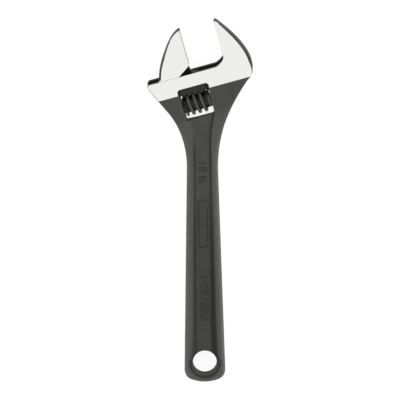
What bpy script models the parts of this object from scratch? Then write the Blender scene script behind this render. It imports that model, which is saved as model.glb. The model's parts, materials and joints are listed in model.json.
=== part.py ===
"""Adjustable wrench of the Swedish pattern, 10 inch size (255 mm long), lying on its side.

X runs across the handle, Y along it towards the jaws, and Z is up, through the thickness. The origin is
the bottom centre of the whole wrench. Lengths below are millimetres, and MM turns them into metres.

The forging is laid out from the centre of its hanging hole. The head is turned by HEAD_ANGLE from the
handle and has its own frame: u along the slideway, towards the fixed jaw, and v from the hanging hole
towards the jaw tips. The mid-plane of the forging is z = 0 while a piece is laid out.
"""

import math

import bmesh
import bpy
from mathutils import Matrix, Vector

MM = 0.001

# The forging as a whole
HEAD_ANGLE = math.radians(15)
HOLE_X, HOLE_Y = 0.85, -113.5       # centre of the hanging hole
HOLE_RADIUS = 8.2

# Head: the ground faces taper towards the jaw tips from the border of the ground band
SLIDE_V = 199.6                     # the slideway that the moving jaw rides on
SLIDE_HALF = 7.7                    # half thickness of the head at the slideway
GROUND_SLOPE = 0.0963
BAND_V = 187.3                      # lower border of the ground band
MID_Z = SLIDE_HALF + GROUND_SLOPE * (SLIDE_V - BAND_V)
FIXED_FACE_U = 70.5
TIP_V = 230.2
JAW_ROUND = 1.2                     # rounding along the outer edges of the forging

# Handle: an I-section between two rails, with a shallow cone about the hanging hole
RAIL_HALF = 4.9
WEB_HALF = 3.1
DISH_Y = -0.5                       # the cone's centre, below the hole's
DISH_RADIUS, DISH_RUN, DISH_RISE = 8.9, 6.5, 5.6
END_RADIUS, END_CENTRE_Y = 26.6, 12.74
CORNER_RADIUS, CORNER_X, CORNER_Y = 6.6, 7.4, -5.84
CORNER_ANGLE = 68.28                # degrees below the X axis, where the corners meet the end
NECK_HALF_WIDTH = 10.65
RIGHT_FLANK_TOP = (30.9, 198.95)     # where the handle's right flank meets the fixed jaw's back
LEFT_FLANK_KNEE = (-23.0, 177.3)    # where the left flank turns from its curve into a straight

# Worm and its window
PITCH = 4.4
WORM_U, WORM_V = 44.525, 177.7
WORM_RADIUS = 7.75
WORM_ROOT = 5.35
WORM_LENGTH = 19.25
FIRST_CREST = 1.4                   # the first crest on the worm's underside, from its left end
WINDOW_LEFT, WINDOW_RIGHT = 34.6, 54.1
WINDOW_LOW, WINDOW_TOP = 167.5, 190.7
WINDOW_LEFT_FLARE = 0.5             # how much wider the window is at its top, on each side
WINDOW_RIGHT_FLARE = 1.2

# Rack under the moving jaw, in a bore open at the left end
RACK_V = 189.3
RACK_RADIUS = 5.85
RACK_LEFT, RACK_RIGHT = 22.5, 57.0
BORE_RADIUS = 6.2
BORE_END = 78.2                     # where the drill's cone begins
CONE_LENGTH, CONE_DROP = 2.4, 2.3   # of the bore's end and of the rack's right end
NECK_HALF = 2.9
SLOT_HALF = 3.25

# Moving jaw
MOVING_FACE_U = 46.8                # so the wrench stands open by 23.7
GAP = 0.3                           # between pieces that touch on the real tool

# Worm pin and spring
PIN_LEFT, PIN_RIGHT = 24.3, 61.0
PIN_RADIUS, PIN_THREAD_RADIUS = 1.75, 2.7
PIN_HOLE_WIDE, PIN_HOLE_NARROW = 3.05, 2.1
SPRING_POCKET, SPRING_POCKET_DEPTH = 3.35, 8.2
SPRING_RADIUS, SPRING_WIRE, SPRING_TURNS = 2.6, 0.35, 4.5


def clear_scene():
    for obj in list(bpy.data.objects):
        bpy.data.objects.remove(obj, do_unlink=True)


def steel(name, colour, roughness, metallic=1.0):
    made = bpy.data.materials.new(name)
    made.use_nodes = True
    shader = made.node_tree.nodes["Principled BSDF"]
    shader.inputs["Base Color"].default_value = (*colour, 1.0)
    shader.inputs["Roughness"].default_value = roughness
    shader.inputs["Metallic"].default_value = metallic
    made.diffuse_color = (*colour, 1.0)
    return made


# Frames

def body_frame():
    return Matrix.Translation(Vector((HOLE_X, HOLE_Y, MID_Z)) * MM)


def head_frame(u=0.0, v=0.0):
    """The head's frame, with its origin moved to (u, v)."""
    return body_frame() @ Matrix.Rotation(HEAD_ANGLE, 4, "Z") @ Matrix.Translation(Vector((u, v, 0)) * MM)


def from_head(u, v):
    """A point of the head's frame, as x and y from the hanging hole."""
    c = math.cos(HEAD_ANGLE)
    s = math.sin(HEAD_ANGLE)
    return u * c - v * s, u * s + v * c


def to_head(x, y):
    """A point given as x and y from the hanging hole, in the head's frame."""
    c = math.cos(HEAD_ANGLE)
    s = math.sin(HEAD_ANGLE)
    return x * c + y * s, -x * s + y * c


# Outlines

def arc(centre, radius, start, end, steps):
    """Points on an arc, both ends included; angles in degrees."""
    points = []
    for i in range(steps + 1):
        a = math.radians(start + (end - start) * i / steps)
        points.append((centre[0] + radius * math.cos(a), centre[1] + radius * math.sin(a)))
    return points


def bezier(p0, p1, p2, p3, steps):
    """Points on a cubic Bezier curve, without its first point."""
    points = []
    for i in range(1, steps + 1):
        t = i / steps
        a, b, c, d = (1 - t) ** 3, 3 * t * (1 - t) ** 2, 3 * t * t * (1 - t), t ** 3
        points.append(tuple(a * p0[k] + b * p1[k] + c * p2[k] + d * p3[k] for k in range(2)))
    return points


def fixed_jaw_outline():
    """From the right flank over the fixed jaw and down its face, to the slideway's left end."""
    tip = (9.9, 240.85)
    shoulder = (35.15, 207.5)
    back = (27.1, 225.0)
    points = bezier(RIGHT_FLANK_TOP, (32.6, 201.5), (35.15, 203.6), shoulder, 8)
    points += bezier(shoulder, (35.15, 213.5), (31.5, 219.5), back, 9)
    points += bezier(back, (22.1, 231.2), (14.8, 237.5), tip, 8)
    points.append(from_head(FIXED_FACE_U, TIP_V - 0.6))
    root = bezier((FIXED_FACE_U, 204.7), (69.9, 202.5), (67.0, 200.7), (63.7, SLIDE_V), 5)
    points.append(from_head(FIXED_FACE_U, 204.7))
    points += [from_head(*p) for p in root]
    points.append(from_head(16.4, SLIDE_V))
    return points


def body_outline():
    """The forging from above, counter-clockwise from the left of its rounded end."""
    points = arc((0, END_CENTRE_Y), END_RADIUS, CORNER_ANGLE - 180, -CORNER_ANGLE, 8)
    points += arc((CORNER_X, CORNER_Y), CORNER_RADIUS, -CORNER_ANGLE, 0, 5)[1:]
    points.append((NECK_HALF_WIDTH, 136.0))
    points += bezier(points[-1], (NECK_HALF_WIDTH, 160.0), (18.05, 178.65), RIGHT_FLANK_TOP, 12)
    points += fixed_jaw_outline()
    corner = from_head(14.9, 198.2)
    points.append(corner)
    points += bezier(corner, (-36.3, 193.7), (-34.2, 191.7), (-32.0, 188.9), 4)
    points.append(LEFT_FLANK_KNEE)
    left = (-NECK_HALF_WIDTH, 138.5)
    points += bezier(LEFT_FLANK_KNEE, (-15.6, 167.8), (left[0], 152.5), left, 12)
    points += arc((-CORNER_X, CORNER_Y), CORNER_RADIUS, 180, 180 + CORNER_ANGLE, 5)[:-1]
    return points


def ground_half(v):
    """Half thickness between the ground faces."""
    return SLIDE_HALF - GROUND_SLOPE * (v - SLIDE_V)


def thickness_rows():
    """The forging's half thickness along v, as (v, half) rows with straight stretches between them."""
    rows = [(-20, RAIL_HALF + 0.1), (146, RAIL_HALF), (158, 5.3), (172, 6.75)]
    return rows + [(BAND_V, ground_half(BAND_V)), (240, ground_half(240))]


def half_thickness(v):
    rows = thickness_rows()
    for (v0, z0), (v1, z1) in zip(rows, rows[1:]):
        if v <= v1:
            return z0 + (z1 - z0) * (v - v0) / (v1 - v0)
    return rows[-1][1]


def thickness_solid(name):
    """The forging's thickness as a bar across the head's frame, to intersect a plate with."""
    rows = thickness_rows()
    profile = rows + [(v, -z) for v, z in reversed(rows)]
    bm = loft([[(u, v, z) for v, z in profile] for u in (-60, 130)])
    return new_object(name, bm, None, head_frame())


# Solids

def new_object(name, bm, material, matrix, smooth=None):
    """An object from a bmesh laid out in millimetres; smooth is the angle above which an edge stays sharp."""
    bmesh.ops.recalc_face_normals(bm, faces=bm.faces)
    bmesh.ops.scale(bm, vec=(MM, MM, MM), verts=bm.verts)
    mesh = bpy.data.meshes.new(name)
    bm.to_mesh(mesh)
    bm.free()
    if smooth is not None:
        mesh.shade_smooth()
        mesh.set_sharp_from_angle(angle=math.radians(smooth))
    obj = bpy.data.objects.new(name, mesh)
    bpy.context.scene.collection.objects.link(obj)
    obj.matrix_world = matrix
    if material:
        obj.data.materials.append(material)
    else:
        obj.hide_render = True
        obj.display_type = "WIRE"
    return obj


def loft(sections):
    """A bmesh through rings of 3D points, closed with a face at each end."""
    bm = bmesh.new()
    rings = [[bm.verts.new(p) for p in ring] for ring in sections]
    n = len(rings[0])
    for low, high in zip(rings, rings[1:]):
        for i in range(n):
            j = (i + 1) % n
            bm.faces.new((low[i], low[j], high[j], high[i]))
    bm.faces.new(list(reversed(rings[0])))
    bm.faces.new(rings[-1])
    return bm


def prism(outline, low, high):
    return loft([[(x, y, z) for x, y in outline] for z in (low, high)])


def turned(profile, segments=32):
    """A solid turned about the X axis from (x, radius) points, with flat ends."""
    sections = []
    for x, r in profile:
        turns = [2 * math.pi * i / segments for i in range(segments)]
        sections.append([(x, r * math.cos(a), r * math.sin(a)) for a in turns])
    return loft(sections)


def rod(start, end, radius, segments=32):
    return turned([(start, radius), (end, radius)], segments)


def boolean(target, other, operation):
    modifier = target.modifiers.new(f"{operation.lower()}_{other.name}", "BOOLEAN")
    modifier.object = other
    modifier.operation = operation
    modifier.solver = "EXACT"


def settle(obj):
    """Replaces the object's mesh by what its modifiers make of it, and removes them."""
    bpy.context.view_layer.update()
    graph = bpy.context.evaluated_depsgraph_get()
    mesh = bpy.data.meshes.new_from_object(obj.evaluated_get(graph))
    obj.modifiers.clear()
    obj.data = mesh


def round_outer_edges(obj, to_uv, keep_sharp):
    """Rounds the edges between the side wall and the broad faces, except where keep_sharp(u, v) says no.

    to_uv(x, y) turns the object's own coordinates into the head's.
    """
    bm = bmesh.new()
    bm.from_mesh(obj.data)
    bmesh.ops.dissolve_limit(bm, angle_limit=math.radians(0.3), verts=bm.verts, edges=bm.edges)
    chosen = []
    for edge in bm.edges:
        if len(edge.link_faces) != 2:
            continue
        tilt = sorted(abs(face.normal.z) for face in edge.link_faces)
        middle = (edge.verts[0].co + edge.verts[1].co) / (2 * MM)
        if tilt[0] < 0.1 and tilt[1] > 0.8 and not keep_sharp(*to_uv(middle.x, middle.y)):
            chosen.append(edge)
    bmesh.ops.bevel(bm, geom=chosen, offset=JAW_ROUND * MM, segments=2, profile=0.5, affect="EDGES")
    for vert in bm.verts:
        most = half_thickness(to_uv(vert.co.x / MM, vert.co.y / MM)[1]) * MM
        vert.co.z = max(-most, min(most, vert.co.z))
    bm.to_mesh(obj.data)
    bm.free()


# Body

def on_slideway_or_face(u, v):
    """True on the slideway and on the fixed jaw's face, whose edges are ground sharp."""
    return (v > SLIDE_V - 0.2 and u < FIXED_FACE_U + 0.2) or (v > TIP_V - 0.8 and u < 72.5)


def recess_cutter(side):
    """One broad face's recess: sloped walls down to the web, flaring out to the window at its top.

    Each row is where a wall crosses half depth, left and right, and half the wall's width there.
    """
    rows = [
        ((-6.5, 2.0), (6.5, 2.0), 2.0),
        ((-6.05, 30), (6.05, 30), 1.65),
        ((-5.4, 135), (5.4, 135), 0.8),
        ((-5.6, 154), (5.35, 157), 0.7),
        ((-6.5, 162.5), (6.0, 166), 0.7),
        ((-7.7, 167.2), (6.9, 171.0), 0.65),
        ((-8.6, 170.4), (7.6, 174.2), 0.55),
        ((-8.8, 172.1), (8.0, 176.9), 0.5),
    ]
    top = 7.8
    rise = (top - WEB_HALF) / (RAIL_HALF - WEB_HALF)
    sections = []
    for left, right, half in rows:
        reach = half * (2 * rise - 1)
        ring = [(left[0] - reach, left[1], top), (left[0] + half, left[1], WEB_HALF)]
        ring += [(right[0] - half, right[1], WEB_HALF), (right[0] + reach, right[1], top)]
        sections.append([(x, y, side * z) for x, y, z in ring])
    return new_object(f"cut_recess_{'top' if side > 0 else 'bottom'}", loft(sections), None, body_frame())


def hole_dish(side):
    """The recess's round end: a shallow cone about the hanging hole."""
    rings = [arc((0, DISH_Y), radius, 0, 345, 23) for radius in (DISH_RADIUS, DISH_RADIUS + DISH_RUN)]
    heights = (WEB_HALF, WEB_HALF + DISH_RISE)
    bm = loft([[(x, y, side * z) for x, y in ring] for ring, z in zip(rings, heights)])
    return new_object(f"cut_dish_{'top' if side > 0 else 'bottom'}", bm, None, body_frame())


def window_cutter():
    r = 1.8
    outline = [(WINDOW_LEFT, WINDOW_LOW), (WINDOW_RIGHT, WINDOW_LOW)]
    right = WINDOW_RIGHT + WINDOW_RIGHT_FLARE - r
    left = WINDOW_LEFT - WINDOW_LEFT_FLARE + r
    outline += arc((right, WINDOW_TOP - r), r, 0, 90, 4)
    outline += arc((left, WINDOW_TOP - r), r, 90, 180, 4)
    return new_object("cut_window", prism(outline, -15, 15), None, head_frame())


def slot_cutter():
    """The slot for the jaw's neck, with room for it in the root of the fixed jaw."""
    top = SLIDE_V + 8
    right = FIXED_FACE_U - 0.4
    end = BORE_END - 0.6
    outline = [(5, RACK_V), (end, RACK_V), (end, 199.4), (73.0, 199.8)]
    outline += bezier(outline[-1], (71.0, 200.2), (right, 201.0), (right, 202.5), 4)
    outline += [(right, top), (5, top)]
    return new_object("cut_slot", prism(outline, -SLOT_HALF, SLOT_HALF), None, head_frame())


def pin_cutter():
    """The pin's hole: wide through the left wall, narrow and blind in the right one."""
    steps = [(5, PIN_HOLE_WIDE), (WORM_U, PIN_HOLE_WIDE)]
    steps += [(WORM_U, PIN_HOLE_NARROW), (PIN_RIGHT + 0.6, PIN_HOLE_NARROW)]
    return new_object("cut_pin_hole", turned(steps, 24), None, head_frame(0, WORM_V))


def make_body(material):
    body = new_object("body", prism(body_outline(), -14, 14), material, body_frame())
    boolean(body, thickness_solid("cut_thickness"), "INTERSECT")
    settle(body)
    round_outer_edges(body, to_head, on_slideway_or_face)
    for side in (1, -1):
        boolean(body, recess_cutter(side), "DIFFERENCE")
        boolean(body, hole_dish(side), "DIFFERENCE")
    bm = prism(arc((0, 0), HOLE_RADIUS, 0, 352.5, 47), -12, 12)
    boolean(body, new_object("cut_hanging_hole", bm, None, body_frame()), "DIFFERENCE")
    bm = turned([(5, BORE_RADIUS), (BORE_END, BORE_RADIUS),
                 (BORE_END + CONE_LENGTH, BORE_RADIUS - CONE_DROP)], 40)
    bore = new_object("cut_rack_bore", bm, None, head_frame(0, RACK_V))
    for cutter in (window_cutter(), slot_cutter(), bore, pin_cutter()):
        boolean(body, cutter, "DIFFERENCE")
    return body


# Moving jaw, with its origin on the rack's axis under its face

def jaw_outline():
    """The wedge from above, counter-clockwise from the left end of its foot."""
    foot = SLIDE_V + GAP
    points = [(23.6, foot), (37.6, foot), (45.6, 204.9)]
    points += bezier(points[-1], (46.4, 205.4), (MOVING_FACE_U, 206.3), (MOVING_FACE_U, 207.5), 3)
    points += [(MOVING_FACE_U, TIP_V - 0.5), (46.0, TIP_V)]
    points += bezier(points[-1], (40.5, 228.5), (34.6, 221.0), (30.3, 214.5), 6)
    points += bezier(points[-1], (27.0, 209.5), (24.6, 204.2), (23.6, foot), 6)[:-1]
    return points


def neck_outline():
    """The neck from the rack up into the wedge, with a small foot on the slot's floor past its face."""
    points = [(RACK_LEFT + 1.5, RACK_V), (52.4, RACK_V), (52.2, 197.8)]
    points += [(51.2, 199.1), (48.2, 199.3)]
    points += bezier(points[-1], (46.8, 199.6), (46.1, 200.6), (45.9, 202.4), 4)
    points += [(45.5, 207.5), (27.5, 205.0), (25.0, SLIDE_V)]
    return points


def tooth_gap_cutters():
    """Prisms across the rack that leave its teeth, slanted to the worm's helix at the pitch line."""
    slant = PITCH / (2 * math.pi * (WORM_RADIUS + WORM_ROOT) / 2)
    low = RACK_V - RACK_RADIUS - 1.0
    root = WORM_V + WORM_RADIUS + 0.35
    tip_half, root_half = 1.62, 0.92
    outline = [(-tip_half, low), (tip_half, low), (root_half, root), (-root_half, root)]
    cutters = []
    for k in range(-4, 5):
        centre = worm_crest_on_top() + k * PITCH
        if not RACK_LEFT - 1.0 < centre < RACK_RIGHT + 1.0:
            continue
        rings = [[(centre + slant * z + x, y, z) for x, y in outline] for z in (-8.0, 8.0)]
        cutters.append(new_object(f"cut_rack_gap_{len(cutters)}", loft(rings), None, head_frame()))
    return cutters


def on_face_or_foot(u, v):
    """True on the moving jaw's face and round its foot, whose edges are ground sharp."""
    return u > MOVING_FACE_U - 0.9 or v < SLIDE_V + 1 or (u > 37 and v < 206)


def make_moving_jaw(material):
    outline = [(u - MOVING_FACE_U, v - RACK_V) for u, v in jaw_outline()]
    origin = head_frame(MOVING_FACE_U, RACK_V)
    jaw = new_object("moving_jaw", prism(outline, -14, 14), material, origin)
    boolean(jaw, thickness_solid("cut_jaw_thickness"), "INTERSECT")
    settle(jaw)
    round_outer_edges(jaw, lambda x, y: (x + MOVING_FACE_U, y + RACK_V), on_face_or_foot)
    neck = new_object("join_neck", prism(neck_outline(), -NECK_HALF, NECK_HALF), None, head_frame())
    bar = [(RACK_LEFT, RACK_RADIUS - 0.8), (RACK_LEFT + 0.8, RACK_RADIUS)]
    bar += [(RACK_RIGHT - CONE_LENGTH, RACK_RADIUS), (RACK_RIGHT, RACK_RADIUS - CONE_DROP)]
    rack = new_object("join_rack", turned(bar, 40), None, head_frame(0, RACK_V))
    boolean(jaw, neck, "UNION")
    boolean(jaw, rack, "UNION")
    for cutter in tooth_gap_cutters():
        boolean(jaw, cutter, "DIFFERENCE")
    return jaw


# Worm, laid out about its own X axis with its middle at the origin

def worm_crest_on_top():
    """Where, along u, a crest of the worm's thread faces the rack: half a turn from the underside."""
    return WORM_U - WORM_LENGTH / 2 + FIRST_CREST + PITCH / 2


def thread_point(turn, across, radius):
    """A point of the right-hand thread: turn counts from the crest that faces the rack."""
    a = 2 * math.pi * turn
    u = worm_crest_on_top() - WORM_U + PITCH * turn + across
    return u, radius * math.cos(a), radius * math.sin(a)


def thread():
    """The thread's ribbon, longer than the worm at both ends."""
    steps, turns = 28, 4
    crest_half, root_half = 0.68, 1.3
    sections = []
    for i in range(-turns * steps, turns * steps + 1):
        t = i / steps
        ring = [(-root_half, WORM_ROOT - 0.6), (root_half, WORM_ROOT - 0.6)]
        ring = [thread_point(t, x, r) for x, r in ring]
        top = [(root_half, WORM_ROOT), (crest_half, WORM_RADIUS), (-crest_half, WORM_RADIUS)]
        ring += [thread_point(t, x, r) for x, r in top]
        ring.append(thread_point(t, -root_half, WORM_ROOT))
        sections.append(ring)
    return loft(sections)


def make_worm(material):
    half = WORM_LENGTH / 2
    frame = head_frame(WORM_U, WORM_V)
    worm = new_object("worm", rod(-half - 1, half + 1, WORM_ROOT, 28), material, frame)
    boolean(worm, new_object("join_thread", thread(), None, frame), "UNION")
    hub = WORM_ROOT - 0.15
    barrel = [(-half, hub), (-half + 0.4, hub), (-half + 1.4, WORM_RADIUS + 0.2)]
    barrel += [(half - 3.05, WORM_RADIUS + 0.2), (half - 1.75, hub), (half, hub)]
    boolean(worm, new_object("cut_worm_ends", turned(barrel, 48), None, frame), "INTERSECT")
    floor = -half + SPRING_POCKET_DEPTH
    pocket = [(-half - 2, SPRING_POCKET), (floor, SPRING_POCKET)]
    pocket += [(floor, PIN_RADIUS + GAP), (half + 2, PIN_RADIUS + GAP)]
    boolean(worm, new_object("cut_worm_bore", turned(pocket, 24), None, frame), "DIFFERENCE")
    return worm


def make_pin(material):
    """The worm's axle: a slotted, threaded end in the left wall and a plain shaft to its blind hole."""
    frame = head_frame(WORM_U, WORM_V)
    shoulder = WINDOW_LEFT - 0.6
    profile = [(PIN_LEFT, 2.2), (PIN_LEFT + 0.5, PIN_THREAD_RADIUS), (shoulder, PIN_THREAD_RADIUS)]
    profile += [(shoulder + 0.4, PIN_RADIUS), (PIN_RIGHT - 0.5, PIN_RADIUS), (PIN_RIGHT, 1.3)]
    pin = new_object("worm_pin", turned([(x - WORM_U, r) for x, r in profile], 24), material, frame, 30)
    bm = bmesh.new()
    bmesh.ops.create_cube(bm, size=1, matrix=Matrix.Diagonal((2.4, 0.9, 8, 1)))
    slot = new_object("cut_pin_slot", bm, None, head_frame(PIN_LEFT, WORM_V))
    boolean(pin, slot, "DIFFERENCE")
    return pin


def make_spring(material):
    """The spring's wire, round the pin in the worm's pocket."""
    frame = head_frame(WORM_U, WORM_V)
    start = WINDOW_LEFT + GAP + SPRING_WIRE - WORM_U
    end = SPRING_POCKET_DEPTH - WORM_LENGTH / 2 - GAP - SPRING_WIRE
    steps, sides = 16, 8
    total = int(SPRING_TURNS * steps)
    sections = []
    for i in range(total + 1):
        a = 2 * math.pi * i / steps
        along = start + (end - start) * i / total
        ring = []
        for k in range(sides):
            b = 2 * math.pi * k / sides
            r = SPRING_RADIUS + SPRING_WIRE * math.cos(b)
            ring.append((along + SPRING_WIRE * math.sin(b), r * math.cos(a), r * math.sin(a)))
        sections.append(ring)
    return new_object("worm_spring", loft(sections), material, frame, 40)


def main():
    clear_scene()
    black = steel("black_forging", (0.065, 0.065, 0.062), 0.5)
    ground = steel("ground_steel", (0.62, 0.62, 0.61), 0.3)
    blued = steel("blued_steel", (0.04, 0.04, 0.042), 0.35)
    bright = steel("spring_wire", (0.5, 0.5, 0.5), 0.3)
    make_body(black)
    make_moving_jaw(ground)
    make_worm(blued)
    make_pin(blued)
    make_spring(bright)


main()
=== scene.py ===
import json
import math

import bmesh
import bpy
import numpy as np
from mathutils import Matrix, Vector, noise
from mathutils.geometry import delaunay_2d_cdt


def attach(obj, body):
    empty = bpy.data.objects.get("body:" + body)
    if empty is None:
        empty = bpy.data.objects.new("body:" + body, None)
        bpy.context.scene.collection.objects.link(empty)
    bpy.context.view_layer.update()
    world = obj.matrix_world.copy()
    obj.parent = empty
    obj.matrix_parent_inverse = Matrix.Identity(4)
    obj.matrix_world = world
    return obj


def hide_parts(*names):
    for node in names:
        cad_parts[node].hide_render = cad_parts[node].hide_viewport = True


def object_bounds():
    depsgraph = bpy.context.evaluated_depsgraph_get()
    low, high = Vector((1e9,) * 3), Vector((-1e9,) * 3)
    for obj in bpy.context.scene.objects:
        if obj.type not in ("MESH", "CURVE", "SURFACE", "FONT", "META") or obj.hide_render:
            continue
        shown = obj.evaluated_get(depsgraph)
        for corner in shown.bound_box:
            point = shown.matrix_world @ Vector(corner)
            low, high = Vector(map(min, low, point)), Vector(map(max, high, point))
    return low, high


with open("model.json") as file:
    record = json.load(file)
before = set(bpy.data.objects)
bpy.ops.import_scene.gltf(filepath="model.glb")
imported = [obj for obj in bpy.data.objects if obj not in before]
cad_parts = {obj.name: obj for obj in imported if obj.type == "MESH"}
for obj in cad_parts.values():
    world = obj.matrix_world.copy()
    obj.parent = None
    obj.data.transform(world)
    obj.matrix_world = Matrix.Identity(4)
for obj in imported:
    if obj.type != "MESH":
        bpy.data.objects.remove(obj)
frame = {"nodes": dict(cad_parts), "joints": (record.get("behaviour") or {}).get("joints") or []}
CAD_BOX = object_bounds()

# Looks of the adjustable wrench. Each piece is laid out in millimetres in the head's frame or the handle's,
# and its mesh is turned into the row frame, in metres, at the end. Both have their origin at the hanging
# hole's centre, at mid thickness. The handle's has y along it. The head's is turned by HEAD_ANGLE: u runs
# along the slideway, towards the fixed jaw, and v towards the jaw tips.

MM = 0.001

WORM_U, WORM_V = 44.525, 177.7
WORM_RADIUS, WORM_ROOT, WORM_LENGTH = 7.75, 5.35, 19.25
PITCH, FIRST_CREST = 4.4, 1.4
HOLE_RADIUS = 8.2
SLIDE_V, SLIDE_HALF, GROUND_SLOPE = 199.6, 7.7, 0.0963
BAND_V = 187.3
FIXED_FACE_U, TIP_V = 70.5, 230.2
RAIL_HALF, WEB_HALF = 4.9, 3.1
NECK_HALF_WIDTH = 10.65
END_RADIUS, END_CENTRE_Y = 26.6, 12.74
CORNER_RADIUS, CORNER_X, CORNER_Y, CORNER_ANGLE = 6.6, 7.4, -5.84, 68.28
WINDOW_LEFT, WINDOW_RIGHT, WINDOW_LOW, WINDOW_TOP = 34.6, 54.1, 167.5, 190.7
WINDOW_LEFT_FLARE, WINDOW_RIGHT_FLARE = 0.5, 1.2
RACK_V, RACK_RADIUS, RACK_LEFT, RACK_RIGHT = 189.3, 5.85, 22.5, 57.0
BORE_RADIUS, BORE_END = 6.2, 78.2
CONE_LENGTH, CONE_DROP = 2.4, 2.3
NECK_HALF, SLOT_HALF = 2.9, 3.25
MOVING_FACE_U, GAP = 46.8, 0.3
PIN_RADIUS, PIN_RIGHT = 1.75, 61.0
POCKET_RADIUS, POCKET_DEPTH = 3.35, 8.2
SPRING_RADIUS, SPRING_WIRE = 2.6, 0.35

ROUND_STEPS = 5  # facets across a rounded edge
SCUFF_HIGHLIGHT_FROM, SCUFF_HIGHLIGHT_SPAN = 0.15, 0.7  # the part of a half wave that the scuffing and its painted highlight follow across the rounding
WALL_ROWS = (0.72, 0.4, 0.14, 0.07, -0.07, -0.14, -0.4, -0.72)  # as shares of a wall's half height
PARTING = 0.1  # the rows nearer the middle than this share are the parting line
NO_DRAFT = 0.1  # a wall with less draft than this stays straight
ROW_SHARE = 0.87  # the height of an even triangle of side 1


# Frames, from the worm's joint

worm_joint = next(j for j in frame["joints"] if j["name"] == "worm_spin")
worm_axis = Vector(worm_joint["axis"])
HEAD_ANGLE = math.atan2(worm_axis.y, worm_axis.x)
WORM_PLACE = Matrix.Translation(worm_joint["pos_m"]) @ Matrix.Rotation(HEAD_ANGLE, 4, "Z")
HEAD = WORM_PLACE @ Matrix.Translation(Vector((-WORM_U, -WORM_V, 0)) * MM)
HANDLE = HEAD @ Matrix.Rotation(-HEAD_ANGLE, 4, "Z")
TURN = np.array([[math.cos(HEAD_ANGLE), math.sin(HEAD_ANGLE)], [-math.sin(HEAD_ANGLE), math.cos(HEAD_ANGLE)]])


def to_head(points):
    """Handle-frame points as (u, v)."""
    return points @ TURN.T


def from_head(points):
    """Head-frame points as (x, y) of the handle's frame."""
    return np.asarray(points, float) @ TURN


# Outlines

def arc(centre, radius, start, end, steps):
    angles = np.radians(np.linspace(start, end, steps + 1))
    return np.stack([centre[0] + radius * np.cos(angles), centre[1] + radius * np.sin(angles)], 1)


def bezier(p0, p1, p2, p3, steps):
    t = np.linspace(0, 1, steps + 1)[1:, None]
    ends = (1 - t) ** 3 * np.array(p0) + t ** 3 * np.array(p3)
    return ends + 3 * t * (1 - t) ** 2 * np.array(p1) + 3 * t * t * (1 - t) * np.array(p2)


def divided(points, step, closed=True):
    """The same line with its long stretches cut into pieces of about step."""
    points = np.asarray(points, float)
    after = np.roll(points, -1, axis=0)
    made = []
    for i in range(len(points) if closed else len(points) - 1):
        parts = max(1, round(float(np.linalg.norm(after[i] - points[i])) / step))
        t = np.arange(parts)[:, None] / parts
        made.append(points[i] * (1 - t) + after[i] * t)
    if not closed:
        made.append(points[-1:])
    return np.concatenate(made)


def body_outline():
    """The forging from above, counter-clockwise from the left of its rounded end, in the handle's frame."""
    tip, shoulder, back = (9.9, 240.85), (35.15, 207.5), (27.1, 225.0)
    right, right_top = (NECK_HALF_WIDTH, 136.0), (30.9, 198.95)
    left, left_knee = (-NECK_HALF_WIDTH, 138.5), (-23.0, 177.3)
    corner = from_head((14.9, 198.2))
    root = bezier((FIXED_FACE_U, 204.7), (69.9, 202.5), (67.0, 200.7), (63.7, SLIDE_V), 14)
    parts = [
        arc((0, END_CENTRE_Y), END_RADIUS, CORNER_ANGLE - 180, -CORNER_ANGLE, 24),
        arc((CORNER_X, CORNER_Y), CORNER_RADIUS, -CORNER_ANGLE, 0, 10)[1:],
        [right],
        bezier(right, (NECK_HALF_WIDTH, 160.0), (18.05, 178.65), right_top, 60),
        bezier(right_top, (32.6, 201.5), (35.15, 203.6), shoulder, 10),
        bezier(shoulder, (35.15, 213.5), (31.5, 219.5), back, 22),
        bezier(back, (22.1, 231.2), (14.8, 237.5), tip, 26),
        from_head([(FIXED_FACE_U, TIP_V - 0.6), (FIXED_FACE_U, 204.7)]),
        from_head(root),
        from_head([(16.4, SLIDE_V)]),
        corner[None],
        bezier(corner, (-36.3, 193.7), (-34.2, 191.7), (-32.0, 188.9), 14),
        [left_knee],
        bezier(left_knee, (-15.6, 167.8), (-NECK_HALF_WIDTH, 152.5), left, 40),
        arc((-CORNER_X, CORNER_Y), CORNER_RADIUS, 180, 180 + CORNER_ANGLE, 10)[:-1],
    ]
    return divided(np.concatenate(parts), 1.1)


def jaw_outline():
    """The moving jaw's wedge from above, counter-clockwise from its foot's left end, in the head's frame."""
    foot = SLIDE_V + 0.08
    parts = [
        [(23.6, foot), (37.6, foot), (45.6, 204.9)],
        bezier((45.6, 204.9), (46.4, 205.4), (MOVING_FACE_U, 206.3), (MOVING_FACE_U, 207.5), 6),
        [(MOVING_FACE_U, TIP_V - 0.5), (46.0, TIP_V)],
        bezier((46.0, TIP_V), (40.5, 228.5), (34.6, 221.0), (30.3, 214.5), 24),
        bezier((30.3, 214.5), (27.0, 209.5), (24.6, 204.2), (23.6, foot), 18)[:-1],
    ]
    return divided(np.concatenate(parts), 0.9)


def window_outline():
    r = 1.8
    corners = [[(WINDOW_LEFT, WINDOW_LOW), (WINDOW_RIGHT, WINDOW_LOW)]]
    corners.append(arc((WINDOW_RIGHT + WINDOW_RIGHT_FLARE - r, WINDOW_TOP - r), r, 0, 90, 8))
    corners.append(arc((WINDOW_LEFT - WINDOW_LEFT_FLARE + r, WINDOW_TOP - r), r, 90, 180, 8))
    return divided(from_head(np.concatenate(corners)), 0.7)


# Plane geometry on numpy arrays, and small helpers

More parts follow.
